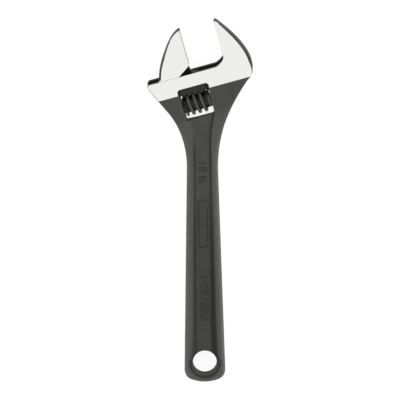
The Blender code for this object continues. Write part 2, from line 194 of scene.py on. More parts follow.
def inside(points, loop):
    """Which points lie inside the closed loop."""
    a, b = loop, np.roll(loop, -1, axis=0)
    rise = np.where(b[:, 1] == a[:, 1], 1e-12, b[:, 1] - a[:, 1])
    found = np.zeros(len(points), bool)
    for start in range(0, len(points), 4000):
        p = points[start:start + 4000]
        y = p[:, 1:2]
        crossing = (a[:, 1] > y) != (b[:, 1] > y)
        at = a[:, 0] + (y - a[:, 1]) * (b[:, 0] - a[:, 0]) / rise
        found[start:start + 4000] = (crossing & (p[:, 0:1] < at)).sum(1) % 2 == 1
    return found


def nearest(points, loop):
    """Each point's distance to the closed loop, and where on it: the loop's index, with a fraction."""
    a = loop
    d = np.roll(loop, -1, axis=0) - a
    length = np.maximum((d ** 2).sum(1), 1e-12)
    far, where = np.zeros(len(points)), np.zeros(len(points))
    for start in range(0, len(points), 3000):
        p = points[start:start + 3000, None]
        t = np.clip(((p - a) * d).sum(2) / length, 0, 1)
        gap = ((p - a - d * t[:, :, None]) ** 2).sum(2)
        best = gap.argmin(1)
        row = np.arange(len(best))
        far[start:start + 3000] = np.sqrt(gap[row, best])
        where[start:start + 3000] = best + t[row, best]
    return far, where


def along(values, where):
    """A value given at each point of a closed loop, between its points."""
    low = np.floor(where).astype(int)
    t = where - low
    return values[low % len(values)] * (1 - t) + values[(low + 1) % len(values)] * t


def mitres(loop):
    """For each point of a counter-clockwise loop, the outward move that shifts both its edges by one."""
    before = loop - np.roll(loop, 1, axis=0)
    after = np.roll(before, -1, axis=0)
    n1 = np.stack([before[:, 1], -before[:, 0]], 1) / np.linalg.norm(before, axis=1)[:, None]
    n2 = np.stack([after[:, 1], -after[:, 0]], 1) / np.linalg.norm(after, axis=1)[:, None]
    return (n1 + n2) / (1 + (n1 * n2).sum(1))[:, None]


def smooth_min(a, b, k):
    h = np.clip(0.5 + 0.5 * (b - a) / k, 0, 1)
    return b * (1 - h) + a * h - k * h * (1 - h)


def smooth_max(a, b, k):
    return -smooth_min(-a, -b, k)


def uneven(points, size, seed):
    """Slow unevenness of a forged surface, from -1 to 1, with features of about size."""
    return np.array([noise.noise(Vector((x / size, y / size, seed))) for x, y in points])


def added(name, data):
    """A new object in the scene."""
    obj = bpy.data.objects.new(name, data)
    bpy.context.scene.collection.objects.link(obj)
    return obj


def mesh_from(bm, name):
    """A new mesh from the bmesh, which is used up."""
    mesh = bpy.data.meshes.new(name)
    bm.to_mesh(mesh)
    bm.free()
    return mesh


def set_values(mesh, name, values):
    """Writes a number for each vertex of the mesh, for the materials to read."""
    mesh.attributes.new(name, "FLOAT", "POINT")
    mesh.attributes[name].data.foreach_set("value", np.asarray(values, np.float32))


# A slab: a plate with an outline, through holes, rounded edges and a height given by a formula

class Edge:
    """A closed edge of a slab, the outline or a hole, with the loops that follow its rounding."""

    def __init__(self, loop, start, radius, outward, scuff_highlight_share=1.0):
        self.loop, self.start, self.radius = loop, start, radius
        self.scuff_highlight_share = np.broadcast_to(scuff_highlight_share, len(loop))
        self.push = mitres(loop)
        self.rings = []
        for k in range(ROUND_STEPS + 1):
            a = math.pi / 2 * k / ROUND_STEPS
            across = start + radius * (1 - math.cos(a))
            self.rings.append((loop + outward * self.push * across[:, None], radius * (1 - math.sin(a))))

    def beyond(self, points):
        """How far the points are past the rounding, into the flat."""
        far, where = nearest(points, self.loop)
        return far - along(self.start + self.radius, where)

    def drop(self, points):
        """How far the rounding lies under the flat at the points."""
        far, where = nearest(points, self.loop)
        r = np.maximum(along(self.radius, where), 1e-6)
        left = np.clip(1 - (far - along(self.start, where)) / r, 0, 1)
        return r * (1 - np.sqrt(1 - left ** 2))


def within(points, edges, ring):
    """Which points lie inside that ring of the outline and outside that ring of every hole."""
    found = inside(points, edges[0].rings[ring][0])
    for hole in edges[1:]:
        found &= ~inside(points, hole.rings[ring][0])
    return found


def clipped(line, edges, clearance):
    """The stretches of a line that lie clear of the edges' roundings."""
    keep = within(line, edges, -1)
    for edge in edges:
        keep &= edge.beyond(line) > clearance
    runs, run = [], []
    for point, kept in zip(line, keep):
        if kept:
            run.append(point)
        elif run:
            runs.append(run)
            run = []
    runs.append(run)
    return [np.array(r) for r in runs if len(r) > 1]


def filling(edges, fixed, step):
    """A triangular grid of points for the flats, clear of the fixed points."""
    low, high = edges[0].loop.min(0), edges[0].loop.max(0)
    rows = []
    for i, y in enumerate(np.arange(low[1], high[1], step * ROW_SHARE)):
        x = np.arange(low[0] + (i % 2) * step / 2, high[0], step)
        rows.append(np.stack([x, np.full(len(x), y)], 1))
    grid = np.concatenate(rows)
    grid = grid[within(grid, edges, -1)]
    clear = np.array([((fixed - p) ** 2).sum(1).min() for p in grid]) > (0.5 * step) ** 2
    return grid[clear]


def triangulated(edges, lines, step):
    """Points, triangles and, for each point, the ring point it came from as (edge, ring, index)."""
    points, links, source = [], [], []
    for e, edge in enumerate(edges):
        for k, (ring, _) in enumerate(edge.rings):
            first = len(points)
            points.extend(ring)
            source.extend((e, k, i) for i in range(len(ring)))
            links.extend((first + i, first + (i + 1) % len(ring)) for i in range(len(ring)))
    for line in lines:
        first = len(points)
        points.extend(line)
        links.extend((first + i, first + i + 1) for i in range(len(line) - 1))
    points.extend(filling(edges, np.array(points), step))
    out = delaunay_2d_cdt([Vector(p) for p in points], links, [], 0, 1e-6)
    made = np.array([tuple(p) for p in out[0]])
    triangles = np.array([tuple(f) for f in out[2]])
    origin = [next((source[i] for i in ids if i < len(source)), None) for ids in out[3]]
    return made, triangles[within(made[triangles].mean(1), edges, 0)], origin


def at_edges(edges, points, origin):
    """For each point, its drop on a rounding, the outward push of its wall, and its scuffing with a painted
    highlight.
    """
    drop, scuff_and_highlight = np.zeros(len(points)), np.zeros(len(points))
    push = np.zeros((len(points), 2))
    loose = [i for i, source in enumerate(origin) if source is None]
    for edge in edges:
        drop[loose] = np.maximum(drop[loose], edge.drop(points[loose]))
    for i, source in enumerate(origin):
        if source is None:
            continue
        e, ring, k = source
        edge = edges[e]
        drop[i] = edge.rings[ring][1][k]
        # Scuffing with a painted highlight across the rounding
        edge_scuff_highlight = edge.scuff_highlight_share[k] * min(1.0, edge.radius[k])
        scuff_and_highlight[i] = edge_scuff_highlight * math.sin(math.pi * (SCUFF_HIGHLIGHT_FROM + SCUFF_HIGHLIGHT_SPAN * ring / ROUND_STEPS))
        if e == 0 and ring == 0:
            push[i] = edge.push[k] * edge.start[k]
    return drop, push, scuff_and_highlight


def rim_of(triangles):
    """The sides that only one triangle has."""
    sides = np.stack([triangles.ravel(), np.roll(triangles, -1, axis=1).ravel()], 1).tolist()
    known = {tuple(side) for side in sides}
    return [(i, j) for i, j in sides if (j, i) not in known]


def wall_points(points, top, push, rim, flash):
    """The rows of points down the walls: crowned where drafted, with the parting line out by flash."""
    made = []
    for i, _ in rim:
        drafted = float(np.linalg.norm(push[i])) > NO_DRAFT
        for level in WALL_ROWS:
            crown = (1 - level ** 2) - (flash if abs(level) > PARTING else 0)
            x, y = points[i] + push[i] * (crown if drafted else 0)
            made.append((x, y, level * top[i]))
    return made


def wall_faces(rim, n):
    """Quads from the upper face's rim, down the rows of wall points, to the lower face's rim."""
    rows = len(WALL_ROWS)
    columns = {}
    for k, (i, _) in enumerate(rim):
        columns[i] = [i, *range(2 * n + k * rows, 2 * n + (k + 1) * rows), i + n]
    faces = []
    for i, j in rim:
        a, b = columns[i], columns[j]
        faces.extend((a[k], a[k + 1], b[k + 1], b[k]) for k in range(rows + 1))
    return faces


def slab(name, edges, lines, step, height, paint, wall_paint, materials, painted_shade, flash=0.0):
    """Both broad faces from one triangulation, joined by crowned walls. Returns an object in millimetres.

    height(points) is the half thickness, paint(points, flat) the material index of a face's triangles, and
    wall_paint(points) that of the walls. flash is how far the parting line stands out of a drafted wall, as a
    share of its draft, and the shade function, from 0 to 1 at each point, is how much painted shade darkens
    the black there.
    """
    points, triangles, origin = triangulated(edges, lines, step)
    n = len(points)
    drop, push, scuff_and_highlight = at_edges(edges, points, origin)
    top = height(points) - drop
    rim = rim_of(triangles)
    upper = [(x, y, z) for (x, y), z in zip(points, top)]
    lower = [(x, y, -z) for x, y, z in upper]
    faces = [tuple(t) for t in triangles.tolist()] + [(c + n, b + n, a + n) for a, b, c in triangles.tolist()]
    mesh = bpy.data.meshes.new(name)
    vertices = upper + lower + wall_points(points, top, push, rim, flash)
    mesh.from_pydata(vertices, [], faces + wall_faces(rim, n))
    on_walls = np.repeat([i for i, _ in rim], len(WALL_ROWS))
    shade_values = painted_shade(points)
    set_values(mesh, "scuff_and_highlight", np.concatenate([scuff_and_highlight, scuff_and_highlight, np.zeros(len(on_walls))]))
    set_values(mesh, "painted_shade", np.concatenate([shade_values, shade_values, shade_values[on_walls]]))
    for material in materials:
        mesh.materials.append(material)
    middle = points[triangles].mean(1)
    on_faces = paint(middle, within(middle, edges, -1))
    down_walls = wall_paint(np.array([(points[i] + points[j]) / 2 for i, j in rim]))
    indices = np.concatenate([on_faces, on_faces, np.repeat(down_walls, len(WALL_ROWS) + 1)])
    mesh.polygons.foreach_set("material_index", indices.astype(np.int32))
    bm = bmesh.new()
    bm.from_mesh(mesh)
    bmesh.ops.delete(bm, geom=[v for v in bm.verts if not v.link_faces], context="VERTS")
    bmesh.ops.triangulate(bm, faces=bm.faces)
    bm.to_mesh(mesh)
    bm.free()
    return added(name, mesh)


# Other solids, in millimetres

def loft(name, sections, material):
    """A solid through rings of 3D points, closed with a face at each end."""
    bm = bmesh.new()
    rings = [[bm.verts.new(p) for p in ring] for ring in sections]
    n = len(rings[0])
    for low, high in zip(rings, rings[1:]):
        for i in range(n):
            j = (i + 1) % n
            bm.faces.new((low[i], low[j], high[j], high[i]))
    bm.faces.new(list(reversed(rings[0])))
    bm.faces.new(rings[-1])
    bmesh.ops.recalc_face_normals(bm, faces=bm.faces)
    mesh = mesh_from(bm, name)
    mesh.materials.append(material)
    return added(name, mesh)


def prism(name, outline, low, high, material):
    return loft(name, [[(x, y, z) for x, y in outline] for z in (low, high)], material)


def turned(name, profile, v, segments, material):
    """A solid turned about the line along u at v, from (u, radius) points."""
    turns = np.radians(np.linspace(0, 360, segments, endpoint=False))
    sections = [[(u, v + r * math.cos(a), r * math.sin(a)) for a in turns] for u, r in profile]
    return loft(name, sections, material)


def combine(target, other, operation):
    """Applies a Boolean with the other solid, which is used up and gives its material to what it leaves."""
    modifier = target.modifiers.new(operation.lower(), "BOOLEAN")
    modifier.object = other
    modifier.operation = operation
    modifier.solver = "EXACT"
    modifier.material_mode = "TRANSFER"
    bpy.context.view_layer.update()
    graph = bpy.context.evaluated_depsgraph_get()
    mesh = bpy.data.meshes.new_from_object(target.evaluated_get(graph))
    target.modifiers.clear()
    target.data = mesh
    bpy.data.objects.remove(other)


def placed(obj, matrix, body, replaced=(), angle=38):
    """Turns a finished piece into the row frame, shades it and puts it on its body."""
    obj.data.transform(matrix @ Matrix.Scale(MM, 4))
    mesh = obj.data
    mesh.shade_smooth()
    mesh.set_sharp_from_angle(angle=math.radians(angle))
    owners = {}
    for polygon in mesh.polygons:
        for key in polygon.edge_keys:
            owners.setdefault(key, set()).add(polygon.material_index)
    for edge in mesh.edges:
        if len(owners.get(edge.key, ())) > 1:
            edge.use_edge_sharp = True
    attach(obj, body)
    if replaced:
        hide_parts(*replaced)
    return obj


# Materials

class Finish:
    """A node material, with short calls for the nodes that the finishes share."""

    def __init__(self, name, roughness, metallic=0.0):
        self.material = bpy.data.materials.new(name)
        self.material.use_nodes = True
        self.nodes = self.material.node_tree.nodes
        self.links = self.material.node_tree.links
        self.shader = self.nodes["Principled BSDF"]
        self.shader.inputs["Roughness"].default_value = roughness
        self.shader.inputs["Metallic"].default_value = metallic
        self.place = self.nodes.new("ShaderNodeTexCoord").outputs["Object"]

    def noise(self, scale, detail=2.0, stretch=(1, 1, 1), turn=0.0):
        mapping = self.nodes.new("ShaderNodeMapping")
        mapping.vector_type = "TEXTURE"
        mapping.inputs["Rotation"].default_value = (0, 0, turn)
        mapping.inputs["Scale"].default_value = stretch
        node = self.nodes.new("ShaderNodeTexNoise")
        node.inputs["Scale"].default_value = scale
        node.inputs["Detail"].default_value = detail
        self.links.new(self.place, mapping.inputs["Vector"])
        self.links.new(mapping.outputs["Vector"], node.inputs["Vector"])
        return node.outputs["Fac"]

    def ramp(self, value, stops):
        node = self.nodes.new("ShaderNodeValToRGB")
        marks = node.color_ramp.elements
        while len(marks) < len(stops):
            marks.new(0.5)
        for mark, (position, colour) in zip(marks, stops):
            mark.position = position
            mark.color = (*colour, 1.0) if hasattr(colour, "__len__") else (colour, colour, colour, 1.0)
        self.links.new(value, node.inputs["Fac"])
        return node.outputs["Color"]

    def maths(self, operation, a, b):
        node = self.nodes.new("ShaderNodeMath")
        node.operation = operation
        for socket, value in zip(node.inputs, (a, b)):
            if isinstance(value, (int, float)):
                socket.default_value = value
            else:
                self.links.new(value, socket)
        return node.outputs["Value"]

    def mix(self, share, a, b):
        node = self.nodes.new("ShaderNodeMix")
        node.data_type = "RGBA"
        for socket, value in zip((node.inputs[0], node.inputs[6], node.inputs[7]), (share, a, b)):
            if isinstance(value, tuple):
                socket.default_value = (*value, 1.0)
            elif isinstance(value, (int, float)):
                socket.default_value = value
            else:
                self.links.new(value, socket)
        return node.outputs[2]

    def attribute(self, name):
        node = self.nodes.new("ShaderNodeAttribute")
        node.attribute_name = name
        return node.outputs["Fac"]

    def height(self):
        """Height above the floor, in metres."""
        node = self.nodes.new("ShaderNodeSeparateXYZ")
        self.links.new(self.place, node.inputs["Vector"])
        return node.outputs["Z"]

    def bump(self, value, depth, strength, under=None):
        node = self.nodes.new("ShaderNodeBump")
        node.inputs["Distance"].default_value = depth
        node.inputs["Strength"].default_value = strength
        self.links.new(value, node.inputs["Height"])
        if under is not None:
            self.links.new(under, node.inputs["Normal"])
        return node.outputs["Normal"]

    def set(self, name, value):
        self.links.new(value, self.shader.inputs[name])


MID_Z = worm_joint["pos_m"][2]


def black_forging():
    """Black phosphate over a shot-blasted forging: a painted highlight makes it lighter on the rails,
    scuffing with a painted highlight lighter on the edges, and painted shade darkest down the walls.
    """
    f = Finish("black_forging", 0.5)
    f.shader.inputs["Specular IOR Level"].default_value = 0.13
    mottle = f.noise(170, 4)
    colour = f.ramp(mottle, [(0.35, (0.0485, 0.0485, 0.0452)), (0.68, (0.0572, 0.0572, 0.0534))])
    # Painted highlight: the black is lighter at rail height, 3.8 to 6.6 mm from the middle, than on the
    # recess's floor
    off_middle = f.maths("ABSOLUTE", f.maths("SUBTRACT", f.height(), MID_Z), 0)
    in_centimetres = f.maths("MULTIPLY", off_middle, 100)
    rail_highlight = f.ramp(in_centimetres, [(0.38, 0.0), (0.47, 1.0), (0.56, 1.0), (0.66, 0.0)])
    colour = f.mix(f.maths("MULTIPLY", rail_highlight, 0.8), colour, (0.073, 0.0735, 0.0683))
    # Painted shade, darker where the mesh's shade values are high: recess walls and floor, dish, head, moving
    # jaw, rack and marks
    colour = f.mix(f.attribute("painted_shade"), colour, (0.0175, 0.0175, 0.0162))
    # Scuffing with a painted highlight along the rounded edges
    scuffs = f.ramp(f.noise(900, 5), [(0.36, 0.25), (0.62, 1.0)])
    edge = f.maths("MULTIPLY", f.attribute("scuff_and_highlight"), scuffs)
    colour = f.mix(f.maths("MULTIPLY", edge, 0.7), colour, (0.195, 0.195, 0.187))
    f.set("Base Color", colour)
    f.set("Roughness", f.ramp(f.noise(700, 3), [(0.3, 0.46), (0.7, 0.58)]))
    coarse = f.bump(f.noise(750, 3), 0.00025, 0.35)
    f.set("Normal", f.bump(f.noise(2600, 2), 0.00008, 0.4, coarse))
    return f.material


def ground_steel():
    """Belt-ground steel, with fine scratches along the slideway."""
    f = Finish("ground_steel", 0.3, 1.0)
    scratches = f.noise(2200, 3, (30, 1, 1), HEAD_ANGLE)
    patches = f.noise(60, 2)
    colour = f.mix(scratches, (0.842, 0.842, 0.832), (0.888, 0.888, 0.880))
    colour = f.mix(f.maths("MULTIPLY", patches, 0.25), colour, (0.83, 0.83, 0.815))
    f.set("Base Color", colour)
    f.set("Roughness", f.ramp(scratches, [(0.3, 0.29), (0.7, 0.36)]))
    f.set("Normal", f.bump(scratches, 0.00002, 0.14))
    return f.material


def cut_dark_and_shade():
    """Milled and drilled surfaces under the same black finish, darker and smoother than the forging. The same
    dark is painted shade on the walls of the window and the hanging hole, and painted shadow down the raised
    marks' flanks.
    """
    f = Finish("machined_black_and_shade", 0.5)
    f.shader.inputs["Specular IOR Level"].default_value = 0.06
    marks = f.noise(1500, 3, (1, 14, 1), HEAD_ANGLE)
    f.set("Base Color", f.ramp(marks, [(0.3, (0.0035, 0.0035, 0.0033)), (0.7, (0.0080, 0.0080, 0.0076))]))
    f.set("Roughness", f.ramp(marks, [(0.3, 0.42), (0.7, 0.56)]))
    f.set("Normal", f.bump(marks, 0.00004, 0.25))
    return f.material


def worm_black():
    """Oiled black oxide on turned steel, rubbed grey along the thread's crests, with a painted highlight
    along the crests' edges.
    """
    f = Finish("worm_black", 0.34)
    f.shader.inputs["Specular IOR Level"].default_value = 0.3
    spots = f.noise(1400, 3)
    colour = f.ramp(spots, [(0.35, (0.006, 0.006, 0.006)), (0.7, (0.012, 0.012, 0.0115))])
    # Rubbed crests with a painted highlight along their edges
    rubbed_and_highlit = f.maths("MULTIPLY", f.attribute("scuff_and_highlight"), f.ramp(spots, [(0.25, 0.55), (0.6, 1.0)]))
    f.set("Base Color", f.mix(rubbed_and_highlit, colour, (0.13, 0.13, 0.126)))
    f.set("Roughness", f.ramp(f.noise(2500, 2), [(0.3, 0.28), (0.7, 0.42)]))
    f.set("Normal", f.bump(f.noise(2500, 2), 0.00003, 0.25))
    return f.material


def spring_wire():
    """Bright drawn wire."""
    f = Finish("spring_wire", 0.3, 1.0)
    drawn = f.noise(2400, 2)
    f.set("Base Color", f.ramp(drawn, [(0.3, (0.42, 0.42, 0.42)), (0.7, (0.60, 0.60, 0.59))]))
    f.set("Roughness", f.ramp(drawn, [(0.3, 0.25), (0.7, 0.4)]))
    f.set("Normal", f.bump(drawn, 0.00002, 0.2))
    return f.material


BLACK, GROUND, DARK = black_forging(), ground_steel(), cut_dark_and_shade()
WORM_BLACK, WIRE = worm_black(), spring_wire()


# The forging

# Rounding from the silhouette to the broad face, along v, on each side of the wrench
RIGHT_EDGE = ((-15, 1.3), (5, 1.8), (150, 1.6), (175, 1.0), (186, 0.7), (187.6, 0.15), (192, 1.1),
              (197.5, 1.7), (204, 1.35), (210, 1.1), (219, 0.9), (226, 0.5), (229, 0.2), (231, 0.15))
LEFT_EDGE = ((-15, 1.3), (5, 1.8), (150, 1.6), (172, 0.9), (186, 0.5), (196, 0.45), (198.4, 0.15),
             (231, 0.15))
SHARP, CLEAN_EDGE = 0.12, 0.3  # a ground edge's rounding, and the most that still counts as ground
DRAFT_SHARE, DRAFT_MOST = 0.25, 0.3
HOLE_EDGE, WINDOW_EDGE, WINDOW_TOP_EDGE = 0.3, 0.3, 0.5
FLASH = 0.25  # how far the parting line stands out, as a share of the draft
FIXED_TIP_U, FIXED_TIP_V = 72.3, 228.8  # the fixed jaw's tip is ground too, up to this u and from this v
FACE_START_V = 204  # the fixed jaw's flat face starts here, above its rounded root

# Scuffing of the edges with a painted highlight, along v, and its share on the left side, painted darker away
# from the key light
EDGE_SCUFF_HIGHLIGHT = ((110, 1.0), (150, 0.6), (185, 0.2), (200, 0.0))
LEFT_HIGHLIGHT_SHARE = 0.6

# The swell from the handle's rails to the ground band
SWELL_V, SWELL_POWER = 146, 1.8

# Recess: where each wall crosses half depth, along y, and half the wall's width there
RECESS_LEFT = ((2, -6.5), (30, -6.05), (135, -5.4), (154, -5.3), (162.5, -5.5), (167.2, -6.2),
               (172.1, -6.6))
RECESS_RIGHT = ((2, 6.05), (30, 5.45), (90, 5.43), (135, 5.4), (157, 5.35), (166, 6.0), (171, 6.9),
                (174.2, 7.6), (176.9, 8.0))
LEFT_WALL = ((2, 2.0), (30, 1.65), (135, 0.8), (150, 1.1), (162, 2.2), (172, 2.8))
RIGHT_WALL = ((2, 2.65), (30, 2.35), (90, 1.53), (135, 0.8), (160, 0.8), (170, 0.7), (176, 0.5))
RECESS_START, RECESS_END, END_SLOPE = 2, 168.6, 2.5
BLEND = 0.45  # how softly the recess runs into the rails and the floor
DISH_CENTRE, DISH_RADIUS, DISH_SLOPE = np.array((0, -0.5)), 8.9, 5.6 / 6.5
LIP_WIDTH, LIP_HEIGHT = 1.5, 0.3

# Depth, size and seed of the slow unevenness of the forging's outside and of the recess's floor
OUTSIDE_UNEVEN, FLOOR_UNEVEN = (0.04, 11, 3.7), (0.03, 7, 9.1)

# Painted shade on the black: along y on the recess's walls and floor, in the dish, and from a v on the head;
# the right wall darker than the left, away from the key light
LEFT_WALL_SHADE = ((91, 0.66), (122, 0.3), (149, 0.5), (160, 0.0))
RIGHT_WALL_SHADE = ((43, 0.95), (91, 0.85), (122, 0.46), (149, 0.65), (172, 0.3))
FLOOR_SHADE = ((110, 0.25), (120, 0.0))
DISH_SHADE, HEAD_SHADE, HEAD_SHADE_V, HEAD_SHADE_RISE = 0.6, 0.8, 188, 12

# Where the mesh follows the recess's walls, the dish and the lip
WALL_SHARES = (-2.0, -1.6, -1.25, -1.0, -0.75, -0.35, 0, 0.35, 0.75, 1.0, 1.25, 1.6)
DISH_RINGS = (9.0, 9.4, 9.9, 10.4, 10.7, 11.0, 11.3, 11.7)
LIP_RINGS = (0.35, 0.75, 1.15, 1.5)
RING_STEPS = 110


def table(rows, at):
    return np.interp(at, [r[0] for r in rows], [r[1] for r in rows])


def forged_half(v):
    """Half thickness of the forging before its recess: even along the handle, swelling into the head."""
    swell = np.clip((v - SWELL_V) / (BAND_V - SWELL_V), 0, 1) ** SWELL_POWER
    band = SLIDE_HALF - GROUND_SLOPE * (BAND_V - SLIDE_V)
    rough = RAIL_HALF + (band - RAIL_HALF) * swell
    return np.where(v > BAND_V, SLIDE_HALF - GROUND_SLOPE * (v - SLIDE_V), rough)


def wall_depths(points):
    """How far in the points are past each wall: -1 at its top and 1 at its foot."""
    x, y = points.T
    left = (x - table(RECESS_LEFT, y)) / table(LEFT_WALL, y)
    right = (table(RECESS_RIGHT, y) - x) / table(RIGHT_WALL, y)
    return left, right


def shade_across(place):
    """Painted shade across a wall: all of it near place 0, and none beyond about 1.2 on either side."""
    return np.clip(1.9 - 1.6 * np.abs(place), 0, 1)


def body_painted_shade(points):
    """Painted shade: on the recess's walls and floor, in the dish and on the head."""
    y = points[:, 1]
    left, right = wall_depths(points)
    on_left = shade_across(left + 0.2) * table(LEFT_WALL_SHADE, y)
    on_right = shade_across(right + 0.3) * table(RIGHT_WALL_SHADE, y)
    on_floor = (np.minimum(left, right) > 1) * table(FLOOR_SHADE, y)
    deep = np.maximum(np.maximum(on_left, on_right), on_floor)
    out = np.linalg.norm(points - DISH_CENTRE, axis=1) - DISH_RADIUS
    wall = (RAIL_HALF - WEB_HALF) / DISH_SLOPE
    dish = shade_across(out * 2 / wall - 1) * DISH_SHADE
    v = to_head(points)[:, 1]
    head = HEAD_SHADE * np.clip((v - HEAD_SHADE_V) / HEAD_SHADE_RISE, 0, 1)
    return np.where(y < RECESS_START, dish, np.where(v > RECESS_END, head, deep))


def body_height(points):
    """Half thickness of the forging, with its recess, the dish round the hanging hole, and the hole's lip."""
    y = points[:, 1]
    v = to_head(points)[:, 1]
    depth, size, seed = OUTSIDE_UNEVEN
    half = forged_half(v)
    half = half - depth * (0.5 + 0.5 * uneven(points, size, seed)) * np.clip((BAND_V - 2 - v) / 12, 0, 1)
    depth, size, seed = FLOOR_UNEVEN
    floor = WEB_HALF + depth * uneven(points, size, seed)
    rise = 0.5 - np.minimum(*wall_depths(points)) / 2
    recess = floor + rise * (RAIL_HALF - WEB_HALF) + END_SLOPE * np.maximum(0, v - RECESS_END)
    recess = np.where(y < RECESS_START, 99, recess)
    dish = floor + (np.linalg.norm(points - DISH_CENTRE, axis=1) - DISH_RADIUS) * DISH_SLOPE
    cut = smooth_max(floor, np.minimum(recess, dish), BLEND)
    rim = np.linalg.norm(points, axis=1) - HOLE_RADIUS
    cut = cut + LIP_HEIGHT * np.clip(1 - np.abs(rim - LIP_WIDTH / 2) / (LIP_WIDTH / 2), 0, 1) ** 0.6
    return smooth_min(half, cut, BLEND)


def body_lines(edges):
    """Lines that the mesh follows: the ground band's border, the recess's walls, the dish and the lip."""
    band = divided(from_head([(5, BAND_V), (90, BAND_V)]), 1.0, closed=False)
    lines = clipped(band, edges, 0.02)
    y = np.concatenate([np.arange(4, 150, 2.0), np.arange(150, 180, 0.8)])
    for rows, walls, side in ((RECESS_LEFT, LEFT_WALL, -1), (RECESS_RIGHT, RIGHT_WALL, 1)):
        wall = table(walls, y)
        for share in WALL_SHARES:
            line = np.stack([table(rows, y) - side * wall * share, y], 1)
            lines += clipped(line, edges, 0.15)
    for radius in DISH_RINGS:
        lines += clipped(arc(DISH_CENTRE, radius, -90, 270, RING_STEPS), edges, 0.15)
    for radius in LIP_RINGS:
        lines += clipped(arc((0, 0), HOLE_RADIUS + radius, -90, 270, RING_STEPS), edges, 0.02)
    return lines


def split_width(width, ground_side):
    """An edge's width as (draft of its wall, radius of its rounding). Ground edges have no draft."""
    draft = np.where(ground_side | (width < CLEAN_EDGE), 0.0, np.minimum(width * DRAFT_SHARE, DRAFT_MOST))
    return draft, width - draft


def body_edges(outline):
    """The outline, hanging hole and window as edges, and the width of the outline's rounding."""
    u, v = to_head(outline).T
    right = outline[:, 0] > 0
    slideway_or_face = (v > SLIDE_V - 0.2) & (u < FIXED_FACE_U + 0.2)
    ground_side = slideway_or_face | ((v > FIXED_TIP_V) & (u < FIXED_TIP_U))
    width = np.where(right, table(RIGHT_EDGE, v), table(LEFT_EDGE, v))
    width = np.where(ground_side, SHARP, width)
    # Scuffing with a painted highlight on the edges: less towards the head, and less on the left, away from
    # the key light
    scuff_highlight_share = table(EDGE_SCUFF_HIGHLIGHT, v) * np.where(right | (v < 0), 1.0, LEFT_HIGHLIGHT_SHARE)
    hole = arc((0, 0), HOLE_RADIUS, 0, 360, 96)[:-1]
    window = window_outline()
    window_edge = np.where(to_head(window)[:, 1] > BAND_V - 0.5, WINDOW_TOP_EDGE, WINDOW_EDGE)
    return width, [
        Edge(outline, *split_width(width, ground_side), -1, scuff_highlight_share),
        Edge(hole, np.zeros(len(hole)), np.full(len(hole), HOLE_EDGE), 1),
        Edge(window, np.zeros(len(window)), window_edge, 1),
    ]


def body_wall_paint(points):
    """Ground on the fixed jaw's face, dark in the slideway, window and hole, and black elsewhere. In the
    slideway the dark is the machined finish; on the walls of the window and the hanging hole it is painted
    shade.
    """
    u, v = to_head(points).T
    slideway = (v > SLIDE_V - 0.3) & (u < FIXED_FACE_U + 0.2) & (v < FACE_START_V + 0.5)
    face = (np.abs(u - FIXED_FACE_U) < 0.2) & (v > FACE_START_V)
    window = (u > WINDOW_LEFT - 1) & (u < WINDOW_RIGHT + 2) & (v > WINDOW_LOW - 1) & (v < WINDOW_TOP + 1)
    hole = np.linalg.norm(points, axis=1) < HOLE_RADIUS + 0.5
    return np.where(face, 1, np.where(slideway | window | hole, 2, 0))


def body_cavities():
    """The keyhole slideway's bore and slot, and the stepped hole of the pin, in the head's frame."""
    bore = [(5, BORE_RADIUS), (BORE_END, BORE_RADIUS), (BORE_END + CONE_LENGTH, BORE_RADIUS - CONE_DROP)]
    yield turned("bore", bore, RACK_V, 72, DARK)
    end, right, top = BORE_END - 0.6, FIXED_FACE_U - 0.4, SLIDE_V + 8
    slot = [(5, RACK_V), (end, RACK_V), (end, 199.4), (73.0, 199.8)]
    slot += [tuple(p) for p in bezier(slot[-1], (71.0, 200.2), (right, 201.0), (right, 202.5), 8)]
    slot += [(right, top), (5, top)]
    yield prism("slot", slot, -SLOT_HALF, SLOT_HALF, DARK)
    pin_steps = [(5, 3.05), (WORM_U - 2, 3.05), (WORM_U - 2, 2.1), (PIN_RIGHT + 0.6, 2.1)]
    yield turned("pin_hole", pin_steps, WORM_V, 40, DARK)


def forged_body():
    """Handle, head and fixed jaw: one forging."""
    outline = body_outline()
    width, edges = body_edges(outline)

    def paint(points, flat):
        far, where = nearest(points, outline)
        sharp = (far < 0.4) & (along(width, where) < CLEAN_EDGE)
        return np.where((flat | sharp) & (to_head(points)[:, 1] > BAND_V), 1, 0)

    body = slab("forged_body", edges, body_lines(edges), 1.7, body_height, paint, body_wall_paint,
                (BLACK, GROUND, DARK), body_painted_shade, FLASH)
    body.data.transform(Matrix.Rotation(-HEAD_ANGLE, 4, "Z"))
    for cavity in body_cavities():
        combine(body, cavity, "DIFFERENCE")
    return placed(body, HEAD, "frame", ["body"])


# The moving jaw

JAW_EDGE = ((199, 1.45), (209, 1.2), (214, 1.15), (219, 0.75), (223, 0.35), (228, 0.2), (231, 0.12))
FACE_EDGE = 0.28  # the rounding beside the jaw's face, left black as a painted dark line of shade along the face
# painted shade on the rack's black, down in the window
RACK_SHADE = 0.5
GAPS_TRIED = range(-4, 5)  # pitches along the rack, counted from the worm's first crest


